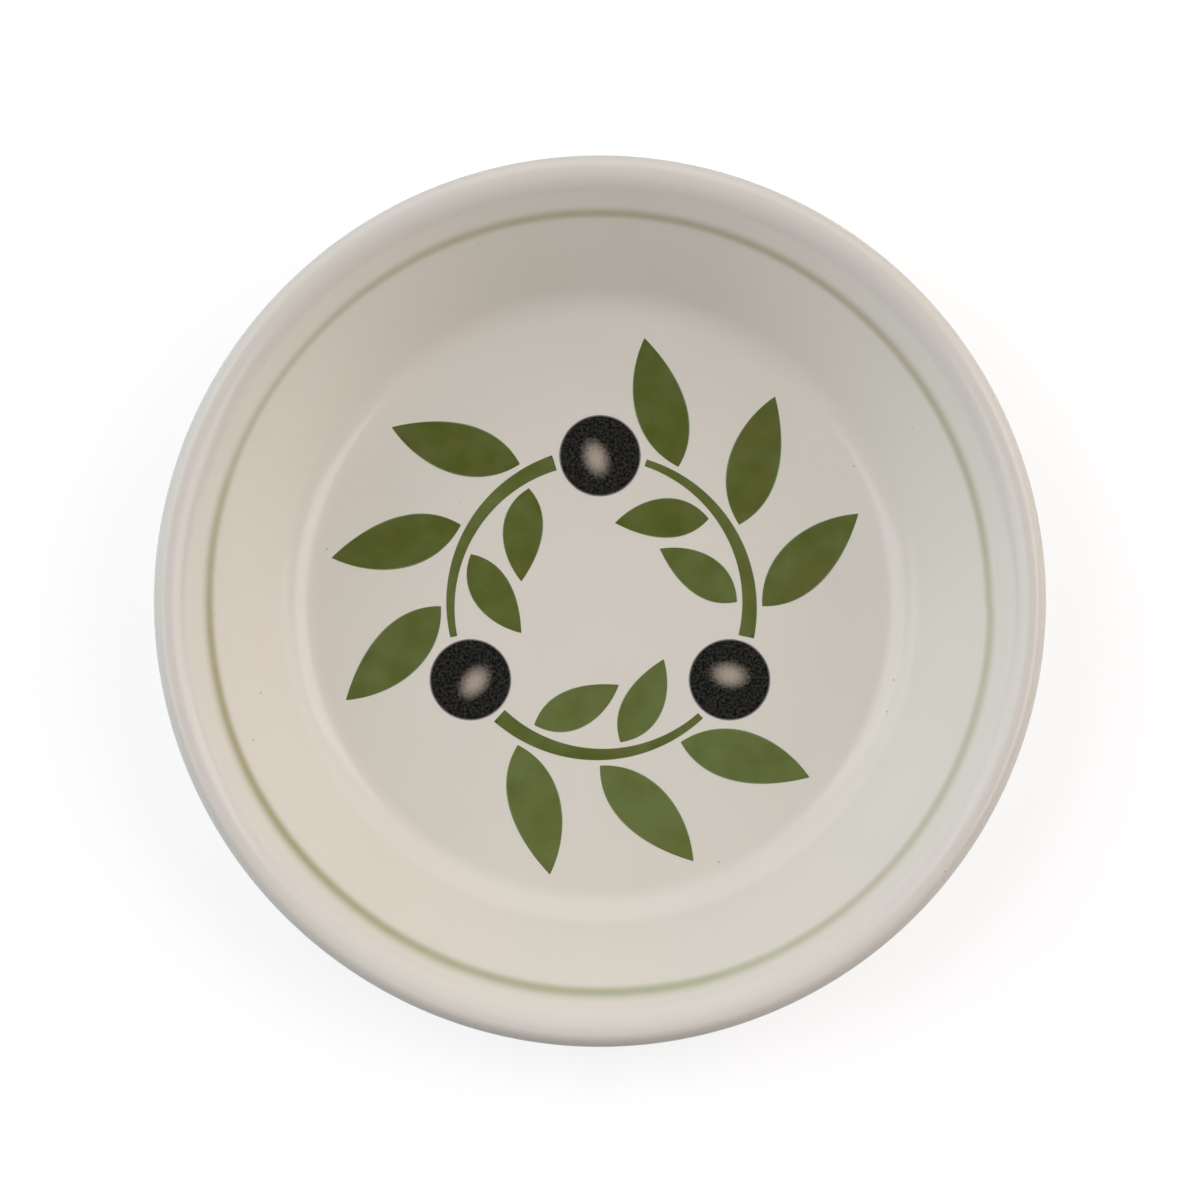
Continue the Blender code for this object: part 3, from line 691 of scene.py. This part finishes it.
# berries: round spots that keep their own map, so that the gleam turns with the wreath
berryPrint, given = newTree("berryPrint", {"Steps": "Int", "Size": "Float", **printInputs})
disc = addNode(berryPrint, "GeometryNodeMeshCircle", {"fill_type": "TRIANGLE_FAN"}, {
    "Vertices": given["Steps"], "Radius": given["Size"]})
local = addNode(berryPrint, "ShaderNodeVectorMath", {"operation": "DIVIDE"}, {
    0: addNode(berryPrint, "GeometryNodeInputPosition"), 1: given["Size"]})
mapped = addNode(berryPrint, "GeometryNodeStoreNamedAttribute", {"data_type": "FLOAT_VECTOR"}, {
    "Geometry": disc, "Name": "berryMap", "Value": local})
berryMap = addNode(berryPrint, "GeometryNodeInputNamedAttribute", {"data_type": "FLOAT_VECTOR"}, {
    "Name": "berryMap"})
inside = addNode(berryPrint, "ShaderNodeVectorMath", {"operation": "DOT_PRODUCT"}, {0: berryMap, 1: berryMap})
swell = addNode(berryPrint, "ShaderNodeMath", {"operation": "SUBTRACT"}, {0: 1.0, 1: inside.outputs["Value"]})
endPrint(berryPrint, given, mapped, swell)
berries = runTrees("berries", [(berryPrint, {
    **wreathValues, "Steps": wreath["berrySteps"], "Size": wreath["berry"] * wellWidth / 2 * mm, "Count": 1,
    "First Angle": wreathTurn, "First Radius": ringRadius * mm, "Material": berryBlack}), outOfRound])
dress(berries, "berry_black", *[f"berry_{i + 1}" for i in range(wreath["parts"])])


# Camera, light and stage

camera = {
    "elevation": 87.5, "distance": 1600.0, "pixelsPerMm": 8.94, "frame": 1200,
    "sensor": 36.0, "clip": (50.0, 20000.0),
}
eye = bpy.data.objects.new("camera", bpy.data.cameras.new("camera"))
scene.collection.objects.link(eye)
tilt = math.radians(camera["elevation"])
back = Vector((0, -math.cos(tilt), math.sin(tilt)))
eye.location = Vector((0, 0, dish["height"] * mm)) + back * camera["distance"] * mm
eye.rotation_euler = back.to_track_quat("Z", "Y").to_euler()
eye.data.sensor_width = camera["sensor"]
eye.data.lens = camera["sensor"] * camera["distance"] / (camera["frame"] / camera["pixelsPerMm"])
eye.data.clip_start, eye.data.clip_end = [reach * mm for reach in camera["clip"]]
scene.camera = eye
scene.view_settings.view_transform = "Standard"

# soft light from both sides, warm on the right and cool on the left, and from the back
lamps = {
    "rightLow": {"place": (990, 320, 360), "size": (1400, 480), "power": 7.1, "colour": "#FFF5F5"},
    "leftLow": {"place": (-990, 320, 360), "size": (1400, 480), "power": 7.2, "colour": "#EFF4FF"},
    "rightHigh": {"place": (735, 25, 815), "size": (900, 600), "power": 1.4, "colour": "#FFF3EC"},
    "leftHigh": {"place": (-645, 20, 890), "size": (600, 840), "power": 1.85, "colour": "#F4F4F6"},
    "rightGleam": {"place": (583, 40, 933), "size": (700, 550), "power": 2.75, "colour": "#FFF5F5"},
    "leftGleam": {"place": (-550, 110, 953), "size": (600, 630), "power": 1.95, "colour": "#EFF4FF"},
    "rightTop": {"place": (295, 160, 1055), "size": (500, 300), "power": 1.4, "colour": "#FFF5F5"},
    "leftTop": {"place": (-295, 160, 1055), "size": (500, 300), "power": 1.45, "colour": "#EFF4FF"},
    "backLow": {"place": (-350, 960, 410), "size": (800, 350), "power": 1.2, "colour": "#F9FFFF"},
}
shownInGloss = ("rightGleam", "leftGleam")
for name, lamp in lamps.items():
    light = bpy.data.lights.new(name, "AREA")
    light.shape = "RECTANGLE"
    light.size, light.size_y = lamp["size"][0] * mm, lamp["size"][1] * mm
    light.energy = lamp["power"]
    light.color = toLinear(lamp["colour"])[:3]
    box = bpy.data.objects.new(name, light)
    box.location = Vector(lamp["place"]) * mm
    box.rotation_euler = Vector(lamp["place"]).to_track_quat("Z", "Y").to_euler()
    box.visible_camera = False
    box.visible_glossy = name in shownInGloss
    scene.collection.objects.link(box)


def seenDirectly(tree):
    # 1 for what the camera sees, straight or by way of gloss or glass, and 0 for light on the dish
    rays = addNode(tree, "ShaderNodeLightPath").outputs
    seen = addNode(tree, "ShaderNodeMath", {"operation": "MAXIMUM"}, {
        0: rays["Is Camera Ray"], 1: rays["Is Glossy Ray"]})
    return addNode(tree, "ShaderNodeMath", {"operation": "MAXIMUM"}, {
        0: seen, 1: rays["Is Transmission Ray"]})


# dim room with white walls, high at the back and low in front, which show but give no light of their own
room = {"colour": "#FFFFFF", "strength": 0.02, "wallTop": (18.0, 36.0), "backRise": 1.4, "frontFall": 3.0}
world = bpy.data.worlds.new("room")
scene.world = world
world.use_nodes = True
tree = world.node_tree
outlook = addNode(tree, "ShaderNodeSeparateXYZ", {}, {
    0: addNode(tree, "ShaderNodeTexCoord").outputs["Generated"]})
leaning = addNode(tree, "ShaderNodeMath", {"operation": "MULTIPLY_ADD"}, {
    0: outlook.outputs["Y"], 1: -room["backRise"], 2: outlook.outputs["Z"]})
nearHorizon = addNode(tree, "ShaderNodeMath", {"operation": "MULTIPLY"}, {
    0: outlook.outputs["Z"], 1: room["frontFall"]})
upward = addNode(tree, "ShaderNodeMath", {"operation": "MINIMUM"}, {0: leaning, 1: nearHorizon})
walls = addNode(tree, "ShaderNodeMapRange", {"interpolation_type": "SMOOTHSTEP"}, {
    "Value": upward, "From Min": math.sin(math.radians(room["wallTop"][0])),
    "From Max": math.sin(math.radians(room["wallTop"][1])), "To Min": 1.0, "To Max": 0.0})
walls = addNode(tree, "ShaderNodeMath", {"operation": "MULTIPLY"}, {0: walls, 1: seenDirectly(tree)})
strength = addNode(tree, "ShaderNodeMath", {"operation": "MAXIMUM"}, {0: walls, 1: room["strength"]})
tree.links.new(strength.outputs[0], tree.nodes["Background"].inputs["Strength"])
tree.nodes["Background"].inputs["Color"].default_value = toLinear(room["colour"])

# white paper: shown white to the camera and in gloss, less the dish's own shadow
paper = {"half": 3000.0, "colour": "#8E8E8C", "roughness": 0.9, "shown": "#FFFFFF", "white": 0.77}
whitePaper, tree, shader, place = newMaterial("whitePaper")
shader.inputs["Base Color"].default_value = toLinear(paper["colour"])
shader.inputs["Roughness"].default_value = paper["roughness"]
share = addNode(tree, "ShaderNodeMath", {"operation": "MULTIPLY"}, {0: seenDirectly(tree), 1: paper["white"]})
white = addNode(tree, "ShaderNodeEmission", {}, {"Color": toLinear(paper["shown"]), "Strength": share})
both = addNode(tree, "ShaderNodeAddShader", {}, {0: shader, 1: white})
tree.links.new(both.outputs[0], tree.nodes["Material Output"].inputs["Surface"])
half = paper["half"] * mm
sheet = [(-half, -half, 0), (half, -half, 0), (half, half, 0), (-half, half, 0)]
floorMesh = bpy.data.meshes.new("floor")
floorMesh.from_pydata(sheet, [], [(0, 1, 2, 3)])
floorMesh.materials.append(whitePaper)
floor = bpy.data.objects.new("floor", floorMesh)
scene.collection.objects.link(floor)
print("stage: camera, lamps, room, floor")
